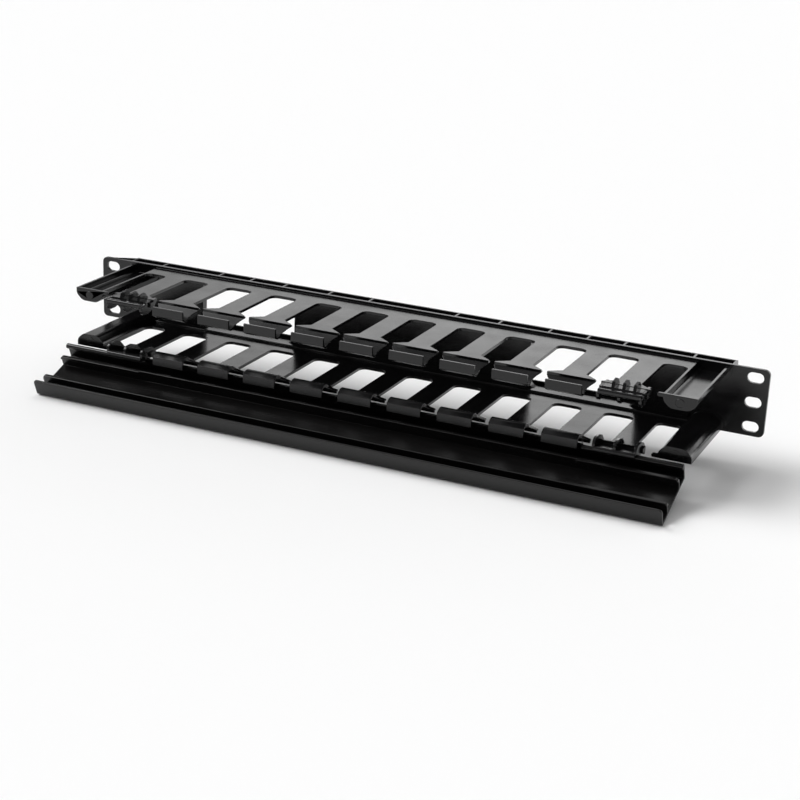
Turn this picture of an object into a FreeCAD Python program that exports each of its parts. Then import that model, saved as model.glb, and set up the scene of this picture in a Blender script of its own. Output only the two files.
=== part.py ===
"""Horizontal cable manager, 1U, for a 19 inch rack: a moulded finger duct with a hinged cover.

Millimetres, +Z up. X runs across the rack, the fingers reach forward along -Y, and the
origin is the middle of the panel's front face. Two nodes are written: duct_body and cover.
The upper comb is modelled once and mirrored for the lower one.
"""
import os
import math

import FreeCAD
import Part

# Rack panel
RACK_WIDTH = 482.6
PANEL_HEIGHT = 43.7
PANEL_THICK = 2.5
PANEL_CORNER_R = 3.5
MOUNT_EDGE = 8.75
MOUNT_SPAN = RACK_WIDTH - 2 * MOUNT_EDGE
MOUNT_PITCH = 15.875
SLOT_LONG = 10.5
SLOT_TALL = 6.8

# Duct width, shared out between the end arms and the fingers
EAR_REACH = 25.8
DUCT_HALF = RACK_WIDTH / 2 - EAR_REACH
ARM_WIDTH = 20.9
ARM_INNER = DUCT_HALF - ARM_WIDTH
ARM_SPACE = 23.6
FINGERS_EACH_SIDE = 5
FINGER_PITCH = (ARM_INNER - ARM_SPACE) / FINGERS_EACH_SIDE
COVER_HEIGHT = PANEL_HEIGHT - 0.1
COVER_THICK = 1.4
COMB_OUTER = COVER_HEIGHT / 2 - COVER_THICK - 0.1
COMB_THICK = 2.0
TIP_FRONT = 68.0

# Back wall: two framed cable windows, a ledge along each comb, moulding marks
WINDOW_INNER = 2.5 * FINGER_PITCH + 0.5
WINDOW_OUTER = 4.5 * FINGER_PITCH + 4.6
WINDOW_HALF_TALL = COMB_OUTER - 3.5
WINDOW_R = 5.0
WINDOW_FRAME = 1.6
WINDOW_FRAME_BACK = 5.5
LEDGE_FRONT = 5.0
LEDGE_BACK = 4.0
LEDGE_R = 1.0
MARK_R = 4.2
MARK_DEPTH = 0.4
MARKS_EACH_SIDE = 2
MARK_Z = 1.5

# Stiffening channels behind the panel
CHANNEL_DEPTH = 11.0
CHANNEL_HALF = DUCT_HALF + 3.0
CHANNEL_WALL = 1.6
CHANNEL_FLOOR_Z = COMB_OUTER - 2.9
CHANNEL_RIM_Z = COMB_OUTER - 5.5
CHANNEL_RIB = 1.5
CHANNEL_RIB_X = (31.5, 62.0, 96.5, 122.5, 147.0, 192.5)

# Fingers
FINGER_WEB = 15.0
SLOT_REAR = 14.5
SLOT_REAR_R = 4.5
TIP_GAP = 3.8
TIP_HALF = (FINGER_PITCH - TIP_GAP) / 2
TIP_FLARE_START = TIP_FRONT - 7.0
TIP_FLARE_END = TIP_FRONT - 1.4

# Sloping tip wall, cable-side gutter and catch bar on every plain fingertip
GUTTER_HALF = TIP_HALF - 3.7
GUTTER_FRONT = TIP_FRONT + 13.5
GUTTER_FLOOR_FRONT = GUTTER_FRONT - 3.3
GUTTER_FLOOR_BACK = TIP_FRONT + 7.0
GUTTER_INNER_Z = COMB_OUTER - 8.1
GUTTER_WALL = 1.7
WALL_FOOT = TIP_FRONT - 2.8
CATCH_INNER_Z = COMB_OUTER - 6.1
CATCH_FOOT_Z = COMB_OUTER - 5.4
CATCH_OUTER_Z = COMB_OUTER - 0.3

# End arms
ARM_WALL = 1.6
ARM_DEEP = 8.6
ARM_FLOOR = 5.4
ARM_FRONT = TIP_FRONT + 1.9
ARM_CAP = 2.0
ARM_TAB = 3.8
ARM_TAB_TALL = 2.4
ARM_DISC_R = 2.7
ARM_DISC_RAISE = 0.3
ARM_COLLAR = 2.2
ARM_COLLAR_THICK = 1.2

# Cover, drawn closed and then swung open about the hinge line
COVER_LENGTH = 2 * DUCT_HALF + 1.0
COVER_SIDE_PLAY = -3.0
COVER_LIP = 12.2
COVER_RIB = 7.5
COVER_CORNER_R = 1.6
COVER_END_R = 2.5
COVER_END_SEGMENT = ARM_INNER - ARM_SPACE - 18.0
COVER_OPEN_DEG = 110.8
RIB_GAP = 0.2
RIB_HEAD = 2.5
RIB_HEAD_THICK = 2.4

# Hinge: a bead along the cover's lip turns behind a bar carried by three hooks
BEAD_R = 1.8
BEAD_GAP = 0.1
HINGE_Y = -(TIP_FRONT + 8.95)
HINGE_Z = COVER_HEIGHT / 2 - BEAD_R
HINGE_BAR_HALF = TIP_HALF - 2.2
HINGE_BAR_TALL = 3.5
HINGE_BAR_R = 1.3
HOOK_THICK = 1.8
HOOK_FRONT = GUTTER_FRONT - 0.9
HOOK_INNER_Z = COMB_OUTER - 8.5
HOOK_R = 4.0
HOOK_FOOT = TIP_FRONT - 6.5
TIP_RIB_Z = COMB_OUTER - 3.9
TIP_RIB_BACK = TIP_FRONT - 1.6
TIP_FLANGE = 1.2
TIP_FLANGE_FRONT = TIP_FRONT + 3.5
TIP_FLANGE_Z = COMB_OUTER - 4.7
STOP_GAP = 0.06
FIN_THICK = 2.0
FIN_STEP = 6.7
FIN_SHIFT = 1.0
FIN_RISE = 3.2
FIN_BACK = TIP_FRONT - 4.0
FIN_TOP_BACK = TIP_FRONT - 0.5


def vec(x, y, z):
    return FreeCAD.Vector(x, y, z)


def box(x0, x1, y0, y1, z0, z1):
    solid = Part.makeBox(x1 - x0, y1 - y0, z1 - z0)
    solid.translate(vec(x0, y0, z0))
    return solid


def fuse(shapes):
    return shapes[0].multiFuse(shapes[1:]) if len(shapes) > 1 else shapes[0]


def rounded_wire(points, radii):
    """Closed wire through 3D points, each corner rounded by its radius (0 keeps it sharp)."""
    count = len(points)
    edges = []
    trimmed = []
    for i in range(count):
        here, before, after = points[i], points[i - 1], points[(i + 1) % count]
        radius = radii[i]
        if radius <= 0:
            trimmed.append((here, here, None))
            continue
        back = (before - here).normalize()
        ahead = (after - here).normalize()
        half = back.getAngle(ahead) / 2.0
        cut = radius / math.tan(half)
        middle = (back + ahead).normalize()
        centre = here + middle * (radius / math.sin(half))
        trimmed.append((here + back * cut, here + ahead * cut, centre - middle * radius))
    for i in range(count):
        start, end, mid = trimmed[i]
        if mid is not None:
            edges.append(Part.Arc(start, mid, end).toShape())
        nxt = trimmed[(i + 1) % count][0]
        if end.distanceToPoint(nxt) > 1e-6:
            edges.append(Part.makeLine(end, nxt))
    return Part.Wire(edges)


def extrude_yz(points, radii, x0, x1):
    """Prism along X of a (y, z) outline."""
    wire = rounded_wire([vec(x0, y, z) for y, z in points], radii)
    return Part.Face(wire).extrude(vec(x1 - x0, 0, 0))


def extrude_xz(points, radii, y0, y1):
    """Prism along Y of an (x, z) outline."""
    wire = rounded_wire([vec(x, y0, z) for x, z in points], radii)
    return Part.Face(wire).extrude(vec(0, y1 - y0, 0))


def extrude_xy(points, radii, z0, z1):
    """Prism along Z of an (x, y) outline."""
    wire = rounded_wire([vec(x, y, z0) for x, y in points], radii)
    return Part.Face(wire).extrude(vec(0, 0, z1 - z0))


def oval_slot(x, z):
    half = (SLOT_LONG - SLOT_TALL) / 2.0
    depth = PANEL_THICK + 2.0
    shape = [box(x - half, x + half, -1, depth - 1, z - SLOT_TALL / 2, z + SLOT_TALL / 2)]
    for side in (-half, half):
        shape.append(Part.makeCylinder(SLOT_TALL / 2, depth, vec(x + side, -1, z), vec(0, 1, 0)))
    return fuse(shape)


def window(side, grow, y0, y1):
    """Block in the outline of a cable window, grown outward by a margin."""
    a, b = sorted((side * (WINDOW_INNER - grow), side * (WINDOW_OUTER + grow)))
    t = WINDOW_HALF_TALL + grow
    return extrude_xz([(a, -t), (b, -t), (b, t), (a, t)], [WINDOW_R + grow] * 4, y0, y1)


def panel():
    """Rack panel with its ear slots, two framed cable windows and the moulding marks."""
    w, h = RACK_WIDTH / 2, PANEL_HEIGHT / 2
    corners = [(-w, -h), (w, -h), (w, h), (-w, h)]
    solids = [extrude_xz(corners, [PANEL_CORNER_R] * 4, 0, PANEL_THICK)]
    cuts = []
    for side in (-1, 1):
        for row in (-1, 0, 1):
            cuts.append(oval_slot(side * MOUNT_SPAN / 2, row * MOUNT_PITCH))
        solids.append(window(side, WINDOW_FRAME, PANEL_THICK / 2, WINDOW_FRAME_BACK))
        cuts.append(window(side, 0, -1, WINDOW_FRAME_BACK + 1))
    for k in range(-MARKS_EACH_SIDE, MARKS_EACH_SIDE + 1):
        centre = vec(k * FINGER_PITCH, -1, MARK_Z)
        cuts.append(Part.makeCylinder(MARK_R, 1 + MARK_DEPTH, centre, vec(0, 1, 0)))
    return fuse(solids).cut(fuse(cuts))


def ledge():
    """Step along the root of the comb, level with the window edges."""
    outline = [(LEDGE_BACK, WINDOW_HALF_TALL), (-LEDGE_FRONT, WINDOW_HALF_TALL)]
    outline += [(-LEDGE_FRONT, COMB_OUTER - COMB_THICK + 0.5), (LEDGE_BACK, COMB_OUTER - COMB_THICK + 0.5)]
    return extrude_yz(outline, [0, LEDGE_R, 0, 0], -ARM_INNER, ARM_INNER)


def channel():
    """Ribbed channel behind the top edge of the panel, open upward, with a rim below its floor."""
    top = PANEL_HEIGHT / 2
    front, back = PANEL_THICK - 0.5, CHANNEL_DEPTH
    floor = box(-CHANNEL_HALF, CHANNEL_HALF, front, back, CHANNEL_FLOOR_Z, CHANNEL_FLOOR_Z + CHANNEL_WALL)
    wall = box(-CHANNEL_HALF, CHANNEL_HALF, back - CHANNEL_WALL, back, CHANNEL_RIM_Z, top)
    parts = [floor, wall]
    for side in (-1, 1):
        for x in CHANNEL_RIB_X:
            c = side * x
            parts.append(box(c - CHANNEL_RIB / 2, c + CHANNEL_RIB / 2, front, back - 0.5, CHANNEL_FLOOR_Z, top))
        a, b = sorted((side * CHANNEL_HALF, side * (CHANNEL_HALF - CHANNEL_WALL)))
        parts.append(box(a, b, front, back, CHANNEL_FLOOR_Z, top))
    return parts


def finger_plan(x):
    """One T-shaped finger seen from above."""
    w, t = FINGER_WEB / 2, TIP_HALF
    outline = [(x - w, 0.5), (x - w, -TIP_FLARE_START), (x - t, -TIP_FLARE_END), (x - t, -TIP_FRONT)]
    outline += [(x + t, -TIP_FRONT), (x + t, -TIP_FLARE_END), (x + w, -TIP_FLARE_START), (x + w, 0.5)]
    return extrude_xy(outline, [0] * 8, COMB_OUTER - COMB_THICK, COMB_OUTER)


def slot_corners(x0, x1):
    """Rounded rear corners of the slot between x0 and x1."""
    r = SLOT_REAR_R
    fill = box(x0 - 0.5, x1 + 0.5, -SLOT_REAR - r, 0.5, COMB_OUTER - COMB_THICK, COMB_OUTER)
    low = COMB_OUTER - COMB_THICK - 1
    hole = [(x0, -SLOT_REAR), (x1, -SLOT_REAR), (x1, -SLOT_REAR - 3 * r), (x0, -SLOT_REAR - 3 * r)]
    return fill.cut(extrude_xy(hole, [r, r, 0, 0], low, COMB_OUTER + 1))


def comb_plate():
    """Fingers joined along the panel, with round-cornered slots between them."""
    reach = FINGERS_EACH_SIDE
    edges = [-ARM_INNER]
    parts = []
    for k in range(-reach, reach + 1):
        x = k * FINGER_PITCH
        edges += [x - FINGER_WEB / 2, x + FINGER_WEB / 2]
        parts.append(finger_plan(x))
    edges.append(ARM_INNER)
    for i in range(0, len(edges), 2):
        parts.append(slot_corners(edges[i], edges[i + 1]))
    return parts


def tip_section():
    """Side view of a fingertip: wall sloping forward from the plate into a round-bottomed gutter."""
    under, w = COMB_OUTER - COMB_THICK, GUTTER_WALL
    run, rise = GUTTER_FLOOR_BACK - WALL_FOOT, under - GUTTER_INNER_Z
    drop = w * math.hypot(run, rise) / run
    inner_top = GUTTER_INNER_Z + (GUTTER_FLOOR_BACK - TIP_FRONT) * rise / run + drop
    inner_back = -GUTTER_FLOOR_BACK - (drop - w) * run / rise
    floor = GUTTER_INNER_Z + w
    outline = [(-WALL_FOOT, under), (-WALL_FOOT, under + 1), (-TIP_FRONT, under + 1), (-TIP_FRONT, inner_top)]
    outline += [(inner_back, floor), (-GUTTER_FLOOR_FRONT, floor), (-GUTTER_FRONT + w, CATCH_FOOT_Z)]
    outline += [(-GUTTER_FRONT, CATCH_FOOT_Z), (-GUTTER_FRONT, CATCH_INNER_Z)]
    outline += [(-GUTTER_FLOOR_FRONT, GUTTER_INNER_Z), (-GUTTER_FLOOR_BACK, GUTTER_INNER_Z)]
    return outline, [0, 0, 0, 0, 0, 0, 0, 0, 0, 3.0, 2.5]


def plain_tip(x):
    """Fingertip narrowing from the plate to its gutter, with the catch bar standing in front."""
    outline, radii = tip_section()
    trough = extrude_yz(outline, radii, x - TIP_HALF, x + TIP_HALF)
    t, g, under = TIP_HALF, GUTTER_HALF, COMB_OUTER - COMB_THICK
    front = [(x - t, COMB_OUTER), (x - t, under), (x - g - 1.6, under - 1.6), (x - g, CATCH_FOOT_Z)]
    front += [(x - g, 0), (x + g, 0), (x + g, CATCH_FOOT_Z), (x + g + 1.6, under - 1.6)]
    front += [(x + t, under), (x + t, COMB_OUTER)]
    trough = trough.common(extrude_xz(front, [0] * 10, -GUTTER_FRONT - 1, -WALL_FOOT + 1))
    bar = box(x - g, x + g, -GUTTER_FRONT, -GUTTER_FRONT + GUTTER_WALL, CATCH_FOOT_Z - 0.3, CATCH_OUTER_Z)
    return [trough, bar]


def hinge_hook(x):
    """Hook plate that carries the hinge bar and cups the bead from behind and inside."""
    seat_foot = CATCH_OUTER_Z - HINGE_BAR_TALL + 1.0
    outline = [(-HOOK_FOOT, COMB_OUTER - 0.5), (-HOOK_FOOT, COMB_OUTER - COMB_THICK)]
    outline += [(-HOOK_FOOT - 4.5, HOOK_INNER_Z + 2.0), (-HOOK_FOOT - 10.5, HOOK_INNER_Z)]
    outline += [(-HOOK_FRONT, HOOK_INNER_Z), (-HOOK_FRONT, seat_foot), (HINGE_Y, seat_foot)]
    outline += [(HINGE_Y, COMB_OUTER - 0.5)]
    return extrude_yz(outline, [0, 0, 0, 0, HOOK_R, 0, 0, 0], x - HOOK_THICK / 2, x + HOOK_THICK / 2)


def lip_face_y(z):
    """Y of the open cover's lip face at height z (upper, mirrored hinge)."""
    lean = math.radians(COVER_OPEN_DEG - 90.0)
    touch_y = HINGE_Y + BEAD_R * math.cos(lean)
    touch_z = HINGE_Z - BEAD_R * math.sin(lean)
    return touch_y + (z - touch_z) * math.tan(lean)


def hinge_stop(x0, x1, rise):
    """Plate or fin whose sloping front edge is the stop for the open cover."""
    top = COMB_OUTER + rise
    base = COMB_OUTER - COMB_THICK
    front_low, front_high = lip_face_y(base) + STOP_GAP, lip_face_y(top) + STOP_GAP
    outline = [(front_low, base), (front_high, top)]
    radii = [0, 0.4 if rise > 0 else 0]
    if rise > 0:
        outline += [(-FIN_TOP_BACK, top + 0.5), (-FIN_BACK, COMB_OUTER - 0.2), (-FIN_BACK, base)]
        radii += [0.6, 0, 0]
    else:
        outline += [(-TIP_FRONT + 1, top), (-TIP_FRONT + 1, base)]
        radii += [0, 0]
    return extrude_yz(outline, radii, x0, x1)


def hinge_bar(x):
    """Rounded bar in front of the bead."""
    front, back = -GUTTER_FRONT, HINGE_Y - BEAD_R - BEAD_GAP + 0.6
    low, top = CATCH_OUTER_Z - HINGE_BAR_TALL, CATCH_OUTER_Z
    corners = [(front, low), (back, low), (back, top), (front, top)]
    return extrude_yz(corners, [HINGE_BAR_R] * 4, x - HINGE_BAR_HALF, x + HINGE_BAR_HALF)


def hinge_tip(x):
    """Fingertip that holds the cover: bar, hooks, stop plate, fins and the bead's seat."""
    under = COMB_OUTER - COMB_THICK
    solids = [hinge_bar(x), hinge_stop(x - GUTTER_HALF - 1, x + GUTTER_HALF + 1, -0.3)]
    solids.append(box(x - TIP_HALF, x + TIP_HALF, -TIP_FRONT, -TIP_RIB_BACK, TIP_RIB_Z, under + 0.5))
    for step in (-1, 0, 1):
        solids.append(hinge_hook(x + step * HINGE_BAR_HALF))
        fin = x + FIN_SHIFT + step * FIN_STEP
        solids.append(hinge_stop(fin - FIN_THICK / 2, fin + FIN_THICK / 2, FIN_RISE))
    for side in (-1, 1):
        a, b = sorted((x + side * TIP_HALF, x + side * (TIP_HALF - TIP_FLANGE)))
        solids.append(box(a, b, -TIP_FLANGE_FRONT, -TIP_RIB_BACK, TIP_FLANGE_Z, under + 0.5))
    seat = Part.makeCylinder(BEAD_R + BEAD_GAP, 4 * TIP_HALF, vec(x - 2 * TIP_HALF, HINGE_Y, HINGE_Z), vec(1, 0, 0))
    return fuse(solids).cut(seat)


def d_outline(x_in, x_out, z_top, deep):
    """D-shaped outline hanging below z_top, with a round belly."""
    w = x_out - x_in
    pts = [(x_in, z_top), (x_in, z_top - 0.5 * deep), (x_in + 0.22 * w, z_top - deep)]
    pts += [(x_out - 0.22 * w, z_top - deep), (x_out, z_top - 0.5 * deep), (x_out, z_top)]
    return pts, [0, 0.22 * w, 0.3 * w, 0.3 * w, 0.22 * w, 0]


def arm(side):
    """End arm: a D-section trough open outward, closed by a front cap with a small tab."""
    outer, radii = d_outline(ARM_INNER, DUCT_HALF, COMB_OUTER, ARM_DEEP)
    body = extrude_xz(outer, radii, -ARM_FRONT, 0.5)
    a, b, low = ARM_INNER + ARM_WALL, DUCT_HALF - ARM_WALL, COMB_OUTER - ARM_FLOOR
    inner = [(a, COMB_OUTER + 1), (a, low), (b, low), (b, COMB_OUTER + 1)]
    trough = extrude_xz(inner, [0, 2.0, 2.0, 0], -ARM_FRONT + ARM_CAP, 0.5)
    collar, radii = d_outline(ARM_INNER - ARM_COLLAR, DUCT_HALF + ARM_COLLAR, COMB_OUTER, ARM_DEEP + ARM_COLLAR)
    ring = extrude_xz(collar, radii, -ARM_COLLAR_THICK, 0.5)
    tip, root, r = ARM_INNER - ARM_TAB, ARM_INNER + 2, 0.45 * ARM_TAB_TALL
    tab = [(tip, COMB_OUTER), (root, COMB_OUTER), (root, COMB_OUTER - ARM_TAB_TALL), (tip, COMB_OUTER - ARM_TAB_TALL)]
    tab = extrude_xz(tab, [r, 0, 0, r], -ARM_FRONT, -ARM_FRONT + ARM_CAP)
    disc_x = (ARM_INNER + DUCT_HALF) / 2
    disc_z = COMB_OUTER - ARM_DEEP / 2
    disc = Part.makeCylinder(ARM_DISC_R, 1, vec(disc_x, -ARM_FRONT - ARM_DISC_RAISE, disc_z), vec(0, 1, 0))
    solid = fuse([body, ring, tab, disc]).cut(trough)
    return solid if side > 0 else solid.mirror(vec(0, 0, 0), vec(1, 0, 0))


def upper_half():
    parts = channel() + comb_plate() + [ledge()]
    for k in range(-FINGERS_EACH_SIDE, FINGERS_EACH_SIDE + 1):
        x = k * FINGER_PITCH
        if abs(k) == FINGERS_EACH_SIDE:
            parts.append(hinge_tip(x))
        else:
            parts += plain_tip(x)
    parts += [arm(-1), arm(1)]
    return fuse(parts)


def duct_body():
    top = upper_half()
    bottom = top.mirror(vec(0, 0, 0), vec(0, 0, 1))
    return fuse([panel(), top, bottom]).removeSplitter()


def cover_section(lip_end, hinge_lip_end, x0, x1):
    """Channel section whose hinge lip (at -Z) may end short, where the bead takes over."""
    t, h = COVER_THICK, COVER_HEIGHT / 2
    front = lip_end - COVER_LIP
    back = front + t
    outline = [(front, -h), (front, h), (lip_end, h), (lip_end, h - t), (back, h - t), (back, -h + t)]
    outline += [(hinge_lip_end, -h + t), (hinge_lip_end, -h)]
    radii = [COVER_CORNER_R, COVER_CORNER_R, 0.4, 0.4, 0.5, 0.5, 0, 0]
    return extrude_yz(outline, radii, x0, x1)


def cover_ribs(x0, x1, headed):
    """Pair of ribs that close on the cable side of the gutters, headed near the ends."""
    back = HINGE_Y + BEAD_R - COVER_LIP + COVER_THICK
    tip = back + COVER_RIB
    outer = GUTTER_INNER_Z - RIB_GAP
    parts = []
    for side in (-1, 1):
        a, b = sorted((side * outer, side * (outer - COVER_THICK)))
        parts.append(box(x0, x1, back - 0.5, tip, a, b))
        if headed:
            a, b = sorted((side * outer, side * (outer - RIB_HEAD_THICK)))
            parts.append(box(x0, x1, tip - RIB_HEAD, tip, a, b))
    return parts


def free_corner(x, y, side, z0, z1):
    """Material outside the rounding of a free corner at (x, y), the end being towards side."""
    r = COVER_END_R
    a, b = sorted((x + side, x - side * r))
    block = box(a, b, y - r, y + 1, z0, z1)
    return block.cut(Part.makeCylinder(r, z1 - z0, vec(x - side * r, y - r, z0), vec(0, 0, 1)))


def closed_cover():
    """Cover in its closed place: a channel with two lips, two ribs and a hinge bead at each end."""
    lip_end = HINGE_Y + BEAD_R
    left, right = COVER_SIDE_PLAY - COVER_LENGTH / 2, COVER_SIDE_PLAY + COVER_LENGTH / 2
    inner_left, inner_right = COVER_SIDE_PLAY - COVER_END_SEGMENT, COVER_SIDE_PLAY + COVER_END_SEGMENT
    parts = [cover_section(lip_end, lip_end, inner_left, inner_right)]
    parts += cover_ribs(inner_left, inner_right, False)
    for x0, x1 in ((left, inner_left), (inner_right, right)):
        parts.append(cover_section(lip_end, HINGE_Y, x0, x1))
        parts.append(Part.makeCylinder(BEAD_R, x1 - x0, vec(x0, HINGE_Y, -HINGE_Z), vec(1, 0, 0)))
        parts += cover_ribs(x0, x1, True)
    rib_tip = lip_end - COVER_LIP + COVER_THICK + COVER_RIB
    lip_inner = COVER_HEIGHT / 2 - COVER_THICK - 0.1
    trims = []
    for x, side in ((left, -1), (right, 1)):
        trims.append(free_corner(x, lip_end, side, lip_inner, COVER_HEIGHT / 2 + 1))
        trims.append(free_corner(x, rib_tip, side, -GUTTER_INNER_Z, GUTTER_INNER_Z))
    return fuse(parts).removeSplitter().cut(fuse(trims))


def cover():
    solid = closed_cover()
    solid.rotate(vec(0, HINGE_Y, -HINGE_Z), vec(1, 0, 0), COVER_OPEN_DEG)
    return solid


def main():
    os.makedirs("parts", exist_ok=True)
    for name, shape in (("duct_body", duct_body()), ("cover", cover())):
        solid = shape.Solids[0] if len(shape.Solids) == 1 else shape
        solid.exportStep(os.path.join("parts", name + ".step"))
        print(name, "solids", len(shape.Solids), "volume", round(shape.Volume), "valid", shape.isValid())


main()
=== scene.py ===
import math

import bpy
from mathutils import Matrix, Vector


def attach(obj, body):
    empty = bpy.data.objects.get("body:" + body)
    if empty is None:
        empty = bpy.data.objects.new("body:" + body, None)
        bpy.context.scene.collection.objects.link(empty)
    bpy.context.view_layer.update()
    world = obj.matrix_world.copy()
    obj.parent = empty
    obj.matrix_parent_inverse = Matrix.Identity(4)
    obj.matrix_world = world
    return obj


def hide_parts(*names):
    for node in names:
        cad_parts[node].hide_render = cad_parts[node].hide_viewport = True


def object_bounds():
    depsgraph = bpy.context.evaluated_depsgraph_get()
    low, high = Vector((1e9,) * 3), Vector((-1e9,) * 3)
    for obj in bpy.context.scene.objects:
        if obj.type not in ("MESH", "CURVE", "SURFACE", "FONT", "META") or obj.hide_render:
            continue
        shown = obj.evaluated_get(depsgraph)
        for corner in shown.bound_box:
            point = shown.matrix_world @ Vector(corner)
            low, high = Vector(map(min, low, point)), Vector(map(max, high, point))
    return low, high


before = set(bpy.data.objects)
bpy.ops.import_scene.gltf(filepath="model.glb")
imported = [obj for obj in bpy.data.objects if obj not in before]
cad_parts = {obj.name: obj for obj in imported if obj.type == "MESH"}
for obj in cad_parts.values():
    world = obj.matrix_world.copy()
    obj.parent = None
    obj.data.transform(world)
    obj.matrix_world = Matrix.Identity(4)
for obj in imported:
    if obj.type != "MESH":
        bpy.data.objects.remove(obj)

bl_info = {
    "name": "Rack cable manager finish",
    "version": (1, 0, 0),
    "blender": (4, 5, 0),
    "location": "3D View > Sidebar > Cable manager",
    "description": "Plastic finish and studio for a rack cable manager with a hinged cover",
    "category": "Object",
}

CAD_LOW, CAD_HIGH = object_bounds()
MM = 0.001

# Meshes: facets are joined into faces, then edges are rounded
MERGE_WITHIN = 0.002 * MM
FLAT_WITHIN = math.radians(0.5)
ROUNDED_ABOVE = math.radians(40.0)
SMOOTH_BELOW = math.radians(35.0)
ROUNDING_SEGMENTS = 2

# Plastic: scales of its patterns, in cycles per metre
CLOUD_SCALE = 28.0
STREAK_SCALE = 160.0
GRAIN_SCALE = 2600.0
CLOUD_HEIGHT = 0.4 * MM
GRAIN_HEIGHT = 0.03 * MM
PLASTIC_IOR = 1.47
DUCT_STREAKS = (0.3, 0.3, 1.0)
COVER_STREAKS = (0.02, 1.0, 1.0)

# Studio: floor, then soft patches as a direction, full half-angle and outer half-angle in degrees,
# and where the band behind and the fill begin and end, as parts of the direction along an axis
FLOOR_SIZE = 12.0
FLOOR_DROP = 0.5 * MM
FLOOR_COLOUR = (0.93, 0.93, 0.93, 1.0)
LEFT_PATCH = ((-0.75, -0.15, 0.65), 4.0, 27.0)
TOP_PATCH = ((0.05, 0.43, 0.9), 6.0, 30.0)
BAND_TOP = math.sin(math.radians(27.0))
BAND_FULL = math.sin(math.radians(18.0))
BAND_BACK = (0.2, 0.6)
LEFT_FADE = (-0.80, -0.25)


# Node helpers

def new_material(name):
    """Empty node material with an output and a Principled shader."""
    material = bpy.data.materials.new(name)
    material.use_nodes = True
    tree = material.node_tree
    tree.nodes.clear()
    output = tree.nodes.new("ShaderNodeOutputMaterial")
    shader = tree.nodes.new("ShaderNodeBsdfPrincipled")
    tree.links.new(shader.outputs["BSDF"], output.inputs["Surface"])
    return material, tree, shader


def object_pattern(tree, stretch):
    """Object coordinates, stretched along the axes."""
    coordinates = tree.nodes.new("ShaderNodeTexCoord")
    mapping = tree.nodes.new("ShaderNodeMapping")
    mapping.inputs["Scale"].default_value = stretch
    tree.links.new(coordinates.outputs["Object"], mapping.inputs["Vector"])
    return mapping.outputs["Vector"]


def noise(tree, vector, scale, detail):
    texture = tree.nodes.new("ShaderNodeTexNoise")
    texture.inputs["Scale"].default_value = scale
    texture.inputs["Detail"].default_value = detail
    tree.links.new(vector, texture.inputs["Vector"])
    return texture.outputs["Fac"]


def spread(tree, value, low, high):
    """Noise value spread over low to high."""
    remap = tree.nodes.new("ShaderNodeMapRange")
    remap.inputs["From Min"].default_value = 0.3
    remap.inputs["From Max"].default_value = 0.7
    remap.inputs["To Min"].default_value = low
    remap.inputs["To Max"].default_value = high
    tree.links.new(value, remap.inputs["Value"])
    return remap.outputs["Result"]


def bump(tree, height, distance, strength, below=None):
    node = tree.nodes.new("ShaderNodeBump")
    node.inputs["Distance"].default_value = distance
    node.inputs["Strength"].default_value = strength
    tree.links.new(height, node.inputs["Height"])
    if below is not None:
        tree.links.new(below, node.inputs["Normal"])
    return node.outputs["Normal"]


def black_plastic(name, colour, roughness, streaks):
    """Satin black plastic: fine grain, slow waviness, and streaks drawn out by a stretch."""
    material, tree, shader = new_material(name)
    plain = object_pattern(tree, (1.0, 1.0, 1.0))
    drawn = object_pattern(tree, streaks)
    cloud = noise(tree, plain, CLOUD_SCALE, 3.0)
    streak = noise(tree, drawn, STREAK_SCALE, 2.0)
    grain = noise(tree, plain, GRAIN_SCALE, 1.0)
    ramp = tree.nodes.new("ShaderNodeValToRGB")
    ramp.color_ramp.elements[0].position = 0.3
    ramp.color_ramp.elements[1].position = 0.7
    ramp.color_ramp.elements[0].color = (*[c * 0.8 for c in colour[:3]], 1.0)
    ramp.color_ramp.elements[1].color = (*[c * 1.25 for c in colour[:3]], 1.0)
    tree.links.new(cloud, ramp.inputs["Fac"])
    tree.links.new(ramp.outputs["Color"], shader.inputs["Base Color"])
    uneven = spread(tree, streak, roughness - 0.04, roughness + 0.05)
    tree.links.new(uneven, shader.inputs["Roughness"])
    waves = bump(tree, cloud, CLOUD_HEIGHT, 0.12)
    grained = bump(tree, grain, GRAIN_HEIGHT, 0.25, waves)
    tree.links.new(grained, shader.inputs["Normal"])
    shader.inputs["IOR"].default_value = PLASTIC_IOR
    return material


# Moulded pieces

def pick_only(context, piece):
    bpy.ops.object.select_all(action="DESELECT")
    piece.select_set(True)
    context.view_layer.objects.active = piece


def moulded_copy(context, node, name, edge, material):
    """Copy of a CAD solid: facets joined, sharp edges rounded, wide faces shaded flat."""
    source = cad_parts[node]
    piece = bpy.data.objects.new(name, source.data.copy())
    context.scene.collection.objects.link(piece)
    piece.data.materials.clear()
    piece.data.materials.append(material)
    pick_only(context, piece)
    bpy.ops.object.mode_set(mode="EDIT")
    bpy.ops.mesh.select_all(action="SELECT")
    bpy.ops.mesh.remove_doubles(threshold=MERGE_WITHIN)
    bpy.ops.mesh.dissolve_limited(angle_limit=FLAT_WITHIN)
    bpy.ops.object.mode_set(mode="OBJECT")
    rounding = piece.modifiers.new("rounded edges", "BEVEL")
    rounding.width = edge
    rounding.segments = ROUNDING_SEGMENTS
    rounding.limit_method = "ANGLE"
    rounding.angle_limit = ROUNDED_ABOVE
    rounding.use_clamp_overlap = False
    rounding.miter_outer = "MITER_SHARP"
    bpy.ops.object.modifier_apply(modifier=rounding.name)
    bpy.ops.object.shade_smooth_by_angle(angle=SMOOTH_BELOW)
    flat = piece.modifiers.new("flat faces", "WEIGHTED_NORMAL")
    flat.keep_sharp = True
    bpy.ops.object.modifier_apply(modifier=flat.name)
    return piece


# Sizes and colours that a user would change

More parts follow.
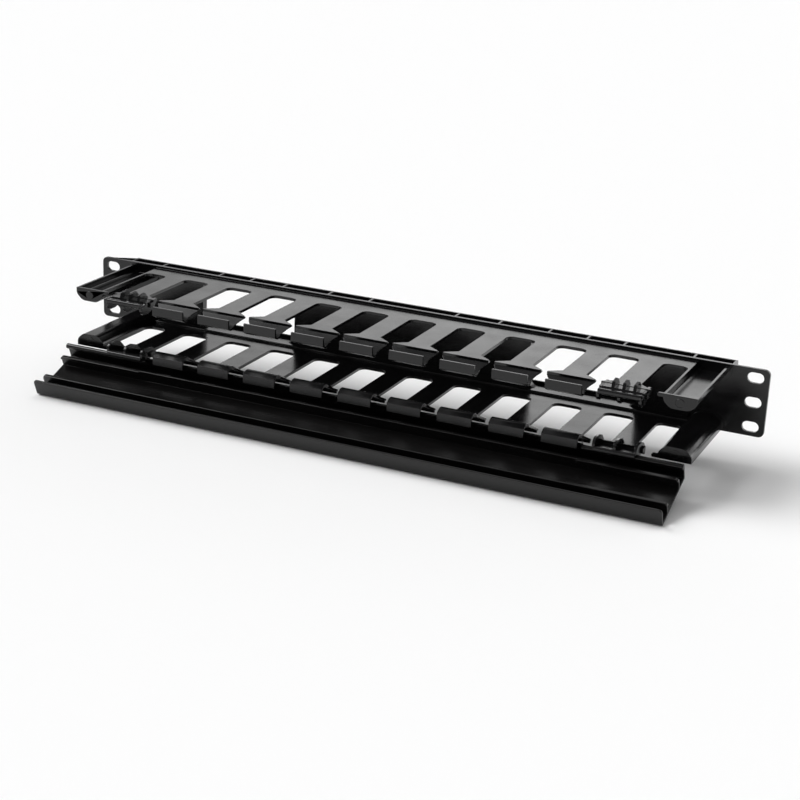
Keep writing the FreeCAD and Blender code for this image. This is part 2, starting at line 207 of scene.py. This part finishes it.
class ManagerFinish(bpy.types.PropertyGroup):
    duct_colour: bpy.props.FloatVectorProperty(
        name="Duct colour", description="Colour of the moulded duct", subtype="COLOR",
        size=3, min=0.0, max=1.0, default=(0.0028, 0.0028, 0.0031))
    cover_colour: bpy.props.FloatVectorProperty(
        name="Cover colour", description="Colour of the cover", subtype="COLOR",
        size=3, min=0.0, max=1.0, default=(0.0030, 0.0028, 0.0028))
    duct_roughness: bpy.props.FloatProperty(
        name="Duct roughness", description="Roughness of the moulded duct",
        default=0.2, min=0.1, max=1.0)
    cover_roughness: bpy.props.FloatProperty(
        name="Cover roughness", description="Roughness of the cover",
        default=0.22, min=0.1, max=1.0)
    duct_edge: bpy.props.FloatProperty(
        name="Duct edge", description="Rounding of the duct's edges", unit="LENGTH",
        subtype="DISTANCE", default=0.2 * MM, min=0.0, max=0.5 * MM)
    cover_edge: bpy.props.FloatProperty(
        name="Cover edge", description="Rounding of the cover's edges", unit="LENGTH",
        subtype="DISTANCE", default=0.4 * MM, min=0.0, max=0.5 * MM)


class ManagerStudio(bpy.types.PropertyGroup):
    azimuth: bpy.props.FloatProperty(
        name="Azimuth", description="Camera's turn to the right of the front", subtype="ANGLE",
        default=math.radians(23.98))
    elevation: bpy.props.FloatProperty(
        name="Elevation", description="Camera's height over the horizon", subtype="ANGLE",
        default=math.radians(19.68))
    roll: bpy.props.FloatProperty(
        name="Roll", description="Camera's roll", subtype="ANGLE", default=math.radians(2.49))
    distance: bpy.props.FloatProperty(
        name="Distance", description="From the panel's centre along the view", unit="LENGTH",
        subtype="DISTANCE", default=1.1564)
    side_shift: bpy.props.FloatProperty(
        name="Side shift", description="Panel centre's place right of the view's middle",
        unit="LENGTH", subtype="DISTANCE", default=0.00576)
    rise: bpy.props.FloatProperty(
        name="Rise", description="Panel centre's place above the view's middle",
        unit="LENGTH", subtype="DISTANCE", default=0.0394)
    lens: bpy.props.FloatProperty(
        name="Lens", description="Focal length in millimetres",
        default=78.215, min=10.0, max=300.0)
    fill: bpy.props.FloatProperty(
        name="Fill", description="Strength of the even light from all round",
        default=0.24, min=0.0, max=5.0)
    key: bpy.props.FloatProperty(
        name="Key", description="Strength of the soft patch at the left",
        default=9.4, min=0.0, max=30.0)
    rim: bpy.props.FloatProperty(
        name="Rim", description="Strength of the band behind",
        default=1.7, min=0.0, max=20.0)
    top: bpy.props.FloatProperty(
        name="Top", description="Strength of the soft patch overhead",
        default=1.2, min=0.0, max=20.0)


# Operators, one for each piece or group of like pieces

class CABLEMANAGER_OT_duct(bpy.types.Operator):
    """Give the moulded duct its plastic"""
    bl_idname = "cable_manager.duct"
    bl_label = "Duct finish"

    def execute(self, context):
        look = context.scene.manager_finish
        material = black_plastic(
            "duct plastic", look.duct_colour, look.duct_roughness, DUCT_STREAKS)
        piece = moulded_copy(context, "duct_body", "moulded_duct", look.duct_edge, material)
        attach(piece, "duct")
        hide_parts("duct_body")
        return {"FINISHED"}


class CABLEMANAGER_OT_cover(bpy.types.Operator):
    """Give the cover its plastic"""
    bl_idname = "cable_manager.cover"
    bl_label = "Cover finish"

    def execute(self, context):
        look = context.scene.manager_finish
        material = black_plastic(
            "cover plastic", look.cover_colour, look.cover_roughness, COVER_STREAKS)
        piece = moulded_copy(context, "cover", "extruded_cover", look.cover_edge, material)
        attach(piece, "lid")
        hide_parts("cover")
        return {"FINISHED"}


# Studio

def floor_material():
    """Pale matt surface."""
    material = bpy.data.materials.new("pale floor")
    material.use_nodes = True
    tree = material.node_tree
    tree.nodes.clear()
    output = tree.nodes.new("ShaderNodeOutputMaterial")
    matt = tree.nodes.new("ShaderNodeBsdfDiffuse")
    matt.inputs["Color"].default_value = FLOOR_COLOUR
    tree.links.new(matt.outputs["BSDF"], output.inputs["Surface"])
    return material


def aim_camera(context, studio):
    """Camera at the set azimuth, elevation and roll."""
    a, e, r = studio.azimuth, studio.elevation, studio.roll
    forward = Vector((-math.sin(a) * math.cos(e), math.cos(a) * math.cos(e), -math.sin(e)))
    level = Vector((math.cos(a), math.sin(a), 0.0))
    upright = level.cross(forward)
    right = math.cos(r) * level + math.sin(r) * upright
    up = -math.sin(r) * level + math.cos(r) * upright
    data = bpy.data.cameras.new("studio camera")
    data.lens = studio.lens
    data.sensor_width = 36.0
    data.clip_start, data.clip_end = 0.01, 20.0
    camera = bpy.data.objects.new("studio_camera", data)
    context.scene.collection.objects.link(camera)
    place = -(right * studio.side_shift + up * studio.rise + forward * studio.distance)
    turn = Matrix((right, up, -forward)).transposed().to_4x4()
    camera.matrix_world = Matrix.Translation(place) @ turn
    context.scene.camera = camera


def glow(tree, shape, strength):
    """Soft patch of light, its shape a direction, full half-angle and outer half-angle."""
    direction, inner, outer = shape
    coordinates = tree.nodes.new("ShaderNodeTexCoord")
    turn = tree.nodes.new("ShaderNodeVectorMath")
    turn.operation = "DOT_PRODUCT"
    turn.inputs[1].default_value = Vector(direction).normalized()
    tree.links.new(coordinates.outputs["Generated"], turn.inputs[0])
    patch = tree.nodes.new("ShaderNodeMapRange")
    patch.interpolation_type = "SMOOTHSTEP"
    patch.inputs["From Min"].default_value = math.cos(math.radians(outer))
    patch.inputs["From Max"].default_value = math.cos(math.radians(inner))
    patch.inputs["To Min"].default_value = 0.0
    patch.inputs["To Max"].default_value = strength
    tree.links.new(turn.outputs["Value"], patch.inputs["Value"])
    return patch.outputs["Result"]


def ramp_along(tree, axis, start, end):
    """0 to 1 as the direction's part along an axis goes from start to end."""
    coordinates = tree.nodes.new("ShaderNodeTexCoord")
    axes = tree.nodes.new("ShaderNodeSeparateXYZ")
    ramp = tree.nodes.new("ShaderNodeMapRange")
    ramp.interpolation_type = "SMOOTHSTEP"
    ramp.inputs["From Min"].default_value = start
    ramp.inputs["From Max"].default_value = end
    tree.links.new(coordinates.outputs["Generated"], axes.inputs["Vector"])
    tree.links.new(axes.outputs[axis], ramp.inputs["Value"])
    return ramp.outputs["Result"]


def combine(tree, how, first, second):
    """Sum or product of two values, each a socket or a number."""
    node = tree.nodes.new("ShaderNodeMath")
    node.operation = how
    for place, value in enumerate((first, second)):
        if isinstance(value, float):
            node.inputs[place].default_value = value
        else:
            tree.links.new(value, node.inputs[place])
    return node.outputs["Value"]


def studio_world(studio):
    """White to the camera; to all else a fill dimmer at the left, a band behind, two patches."""
    world = bpy.data.worlds.new("pale studio")
    world.use_nodes = True
    tree = world.node_tree
    tree.nodes.clear()
    output = tree.nodes.new("ShaderNodeOutputWorld")
    lit = tree.nodes.new("ShaderNodeBackground")
    plain = tree.nodes.new("ShaderNodeBackground")
    choice = tree.nodes.new("ShaderNodeMixShader")
    path = tree.nodes.new("ShaderNodeLightPath")
    key = glow(tree, LEFT_PATCH, studio.key)
    top = glow(tree, TOP_PATCH, studio.top)
    patches = combine(tree, "ADD", key, top)
    low = ramp_along(tree, "Z", BAND_TOP, BAND_FULL)
    back = ramp_along(tree, "Y", *BAND_BACK)
    band = combine(tree, "MULTIPLY", combine(tree, "MULTIPLY", low, back), studio.rim)
    even = combine(tree, "ADD", band, studio.fill)
    sided = combine(tree, "MULTIPLY", even, ramp_along(tree, "X", *LEFT_FADE))
    total = combine(tree, "ADD", sided, patches)
    tree.links.new(total, lit.inputs["Strength"])
    tree.links.new(path.outputs["Is Camera Ray"], choice.inputs["Fac"])
    tree.links.new(lit.outputs["Background"], choice.inputs[1])
    tree.links.new(plain.outputs["Background"], choice.inputs[2])
    tree.links.new(choice.outputs["Shader"], output.inputs["Surface"])
    for node in (lit, plain):
        node.inputs["Color"].default_value = (1.0, 1.0, 1.0, 1.0)
    return world


class CABLEMANAGER_OT_stage(bpy.types.Operator):
    """Set the floor, the lit surroundings and the camera"""
    bl_idname = "cable_manager.stage"
    bl_label = "Stage"

    def execute(self, context):
        scene = context.scene
        bpy.ops.object.select_all(action="DESELECT")
        height = CAD_LOW.z - FLOOR_DROP
        bpy.ops.mesh.primitive_plane_add(size=FLOOR_SIZE, location=(0.0, 0.0, height))
        floor = context.active_object
        floor.name = "floor"
        floor.data.materials.append(floor_material())
        scene.world = studio_world(scene.manager_studio)
        aim_camera(context, scene.manager_studio)
        scene.view_settings.view_transform = "Standard"
        return {"FINISHED"}


class CABLEMANAGER_PT_panel(bpy.types.Panel):
    bl_idname = "CABLEMANAGER_PT_panel"
    bl_label = "Cable manager"
    bl_space_type = "VIEW_3D"
    bl_region_type = "UI"
    bl_category = "Cable manager"

    def draw(self, context):
        layout = self.layout
        for operator in OPERATORS:
            layout.operator(operator.bl_idname)
        for group in (context.scene.manager_finish, context.scene.manager_studio):
            for name in group.__annotations__:
                layout.prop(group, name)


GROUPS = (ManagerFinish, ManagerStudio)
OPERATORS = (CABLEMANAGER_OT_duct, CABLEMANAGER_OT_cover, CABLEMANAGER_OT_stage)
CLASSES = GROUPS + OPERATORS + (CABLEMANAGER_PT_panel,)


def register():
    for item in CLASSES:
        bpy.utils.register_class(item)
    bpy.types.Scene.manager_finish = bpy.props.PointerProperty(type=ManagerFinish)
    bpy.types.Scene.manager_studio = bpy.props.PointerProperty(type=ManagerStudio)


def unregister():
    del bpy.types.Scene.manager_studio
    del bpy.types.Scene.manager_finish
    for item in reversed(CLASSES):
        bpy.utils.unregister_class(item)


def main():
    register()
    bpy.ops.cable_manager.duct()
    bpy.ops.cable_manager.cover()
    bpy.ops.cable_manager.stage()


if __name__ == "__main__":
    main()
